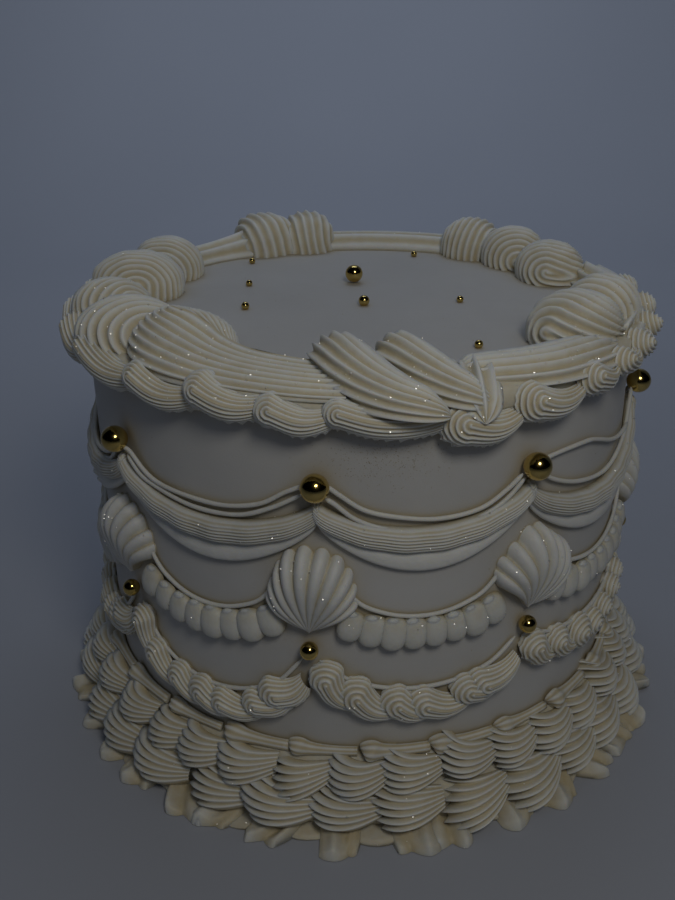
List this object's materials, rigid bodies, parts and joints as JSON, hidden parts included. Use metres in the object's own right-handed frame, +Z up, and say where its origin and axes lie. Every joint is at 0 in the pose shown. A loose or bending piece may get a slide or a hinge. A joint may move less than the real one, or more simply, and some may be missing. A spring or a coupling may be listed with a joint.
{
  "type": "piped buttercream cake",
  "caption": "Round celebration cake in smooth pale buttercream with piped shell borders, swags, scallop fans and gold sugar pearls.",
  "frame": {"origin": "centre of the cake's flat underside, on the surface it stands on", "axes": "+Z up along the cake's axis, -Y towards the front, +X to the right seen from the front"},
  "size_m": [0.2037, 0.2019, 0.1402],
  "materials": {
    "smooth_icing": "smooth matte buttercream, pale off-white, faint spatula marks",
    "piped_buttercream": "satin ivory buttercream with crisp ridges and a little edible glitter",
    "gold_pearl": "polished gold sugar pearl"
  },
  "bodies": {
    "root": {"cake_body": "smooth_icing", "top_border": "piped_buttercream", "rim_shells": "piped_buttercream", "base_bead_line": "piped_buttercream", "base_upper_shells": "piped_buttercream", "base_lower_shells": "piped_buttercream", "base_ruffle": "piped_buttercream", "upper_drape_1": "piped_buttercream", "upper_drape_2": "piped_buttercream", "upper_drape_3": "piped_buttercream", "upper_drape_4": "piped_buttercream", "upper_drape_5": "piped_buttercream", "upper_drape_6": "piped_buttercream", "upper_drape_7": "piped_buttercream", "upper_drape_8": "piped_buttercream", "bead_garland_1": "piped_buttercream", "bead_garland_2": "piped_buttercream", "bead_garland_3": "piped_buttercream", "bead_garland_4": "piped_buttercream", "bead_garland_5": "piped_buttercream", "bead_garland_6": "piped_buttercream", "bead_garland_7": "piped_buttercream", "bead_garland_8": "piped_buttercream", "rope_garland_1": "piped_buttercream", "rope_garland_2": "piped_buttercream", "rope_garland_3": "piped_buttercream", "rope_garland_4": "piped_buttercream", "rope_garland_5": "piped_buttercream", "rope_garland_6": "piped_buttercream", "rope_garland_7": "piped_buttercream", "rope_garland_8": "piped_buttercream", "fan_1": "piped_buttercream", "fan_2": "piped_buttercream", "fan_3": "piped_buttercream", "fan_4": "piped_buttercream", "fan_5": "piped_buttercream", "fan_6": "piped_buttercream", "fan_7": "piped_buttercream", "fan_8": "piped_buttercream", "top_pearl": "gold_pearl", "upper_pearl_1": "gold_pearl", "upper_pearl_2": "gold_pearl", "upper_pearl_3": "gold_pearl", "upper_pearl_4": "gold_pearl", "upper_pearl_5": "gold_pearl", "upper_pearl_6": "gold_pearl", "upper_pearl_7": "gold_pearl", "upper_pearl_8": "gold_pearl", "lower_pearl_1": "gold_pearl", "lower_pearl_2": "gold_pearl", "lower_pearl_3": "gold_pearl", "lower_pearl_4": "gold_pearl", "lower_pearl_5": "gold_pearl", "lower_pearl_6": "gold_pearl", "lower_pearl_7": "gold_pearl", "lower_pearl_8": "gold_pearl"}
  },
  "joints": []
}
